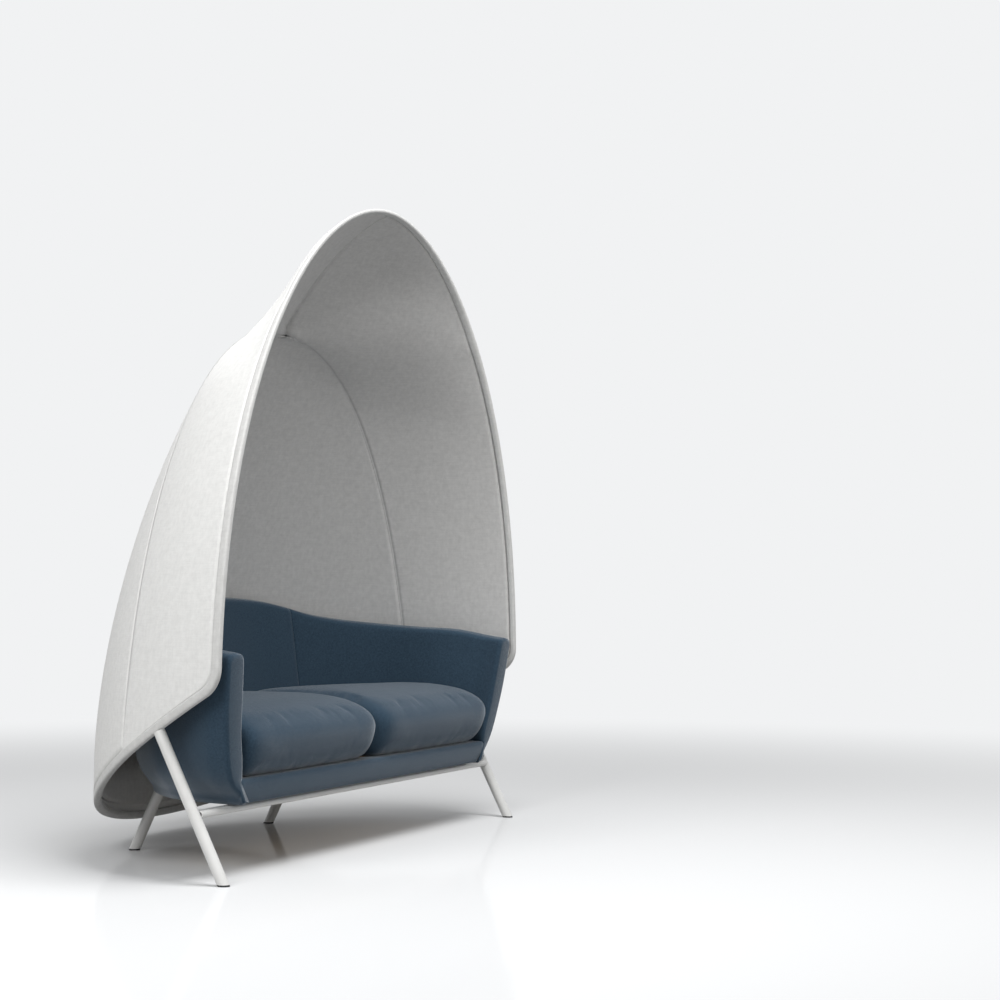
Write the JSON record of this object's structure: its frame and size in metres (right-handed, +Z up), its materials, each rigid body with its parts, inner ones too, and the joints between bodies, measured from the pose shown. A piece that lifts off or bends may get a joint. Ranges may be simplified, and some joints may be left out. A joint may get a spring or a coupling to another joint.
{
  "type": "acoustic hooded sofa",
  "caption": "Upholstered seat tub with loose seat cushions under a tall open-fronted acoustic hood, on a leaning steel tube base.",
  "frame": {"origin": "on the floor, at the middle of the plan", "axes": "+Z up, the sofa faces -Y, +X to the sitter's left"},
  "size_m": [1.853, 0.867, 1.938],
  "materials": {
    "hood_felt": "moulded wool felt",
    "hood_lining": "wool felt",
    "upholstery": "woven wool over foam",
    "white_paint": "satin powder coat",
    "steel": "zinc plated",
    "glide": "moulded",
    "plywood": "raw birch plywood",
    "webbing": "elastic webbing"
  },
  "bodies": {
    "root": {"front_bolt_left": "steel", "front_bolt_right": "steel", "front_crossbar": "white_paint", "front_glide_left": "glide", "front_glide_right": "glide", "front_leg_left": "white_paint", "front_leg_right": "white_paint", "front_plate_left": "white_paint", "front_plate_right": "white_paint", "front_rail": "upholstery", "front_rail_board": "plywood", "hood_back_lining": "hood_lining", "hood_back_shell": "hood_felt", "hood_rim_left": "hood_felt", "hood_rim_right": "hood_felt", "hood_side_lining_left": "hood_lining", "hood_side_lining_right": "hood_lining", "hood_side_shell_left": "hood_felt", "hood_side_shell_right": "hood_felt", "hood_spacer_left": "glide", "hood_spacer_right": "glide", "hood_spigot_left": "steel", "hood_spigot_right": "steel", "rear_bolt_left": "steel", "rear_bolt_right": "steel", "rear_crossbar": "white_paint", "rear_glide_left": "glide", "rear_glide_right": "glide", "rear_leg_left": "white_paint", "rear_leg_right": "white_paint", "rear_plate_left": "white_paint", "rear_plate_right": "white_paint", "seat_deck": "plywood", "seat_webbing_left": "webbing", "seat_webbing_right": "webbing", "side_rail_left": "white_paint", "side_rail_right": "white_paint", "tub_arm_board_left": "plywood", "tub_arm_board_right": "plywood", "tub_arm_left": "upholstery", "tub_arm_right": "upholstery", "tub_back": "upholstery", "tub_back_board": "plywood", "tub_base_panel": "plywood", "tub_base_rib_left": "plywood", "tub_base_rib_right": "plywood"},
    "cushion_left": {"seat_cushion_left": "upholstery"},
    "cushion_right": {"seat_cushion_right": "upholstery"}
  },
  "joints": [
    {"name": "cushion_left_lift", "type": "slide", "parent": "root", "child": "cushion_left", "axis": [0, 0, 1], "range_m": [0, 0.25]},
    {"name": "cushion_right_lift", "type": "slide", "parent": "root", "child": "cushion_right", "axis": [0, 0, 1], "range_m": [0, 0.25]}
  ]
}
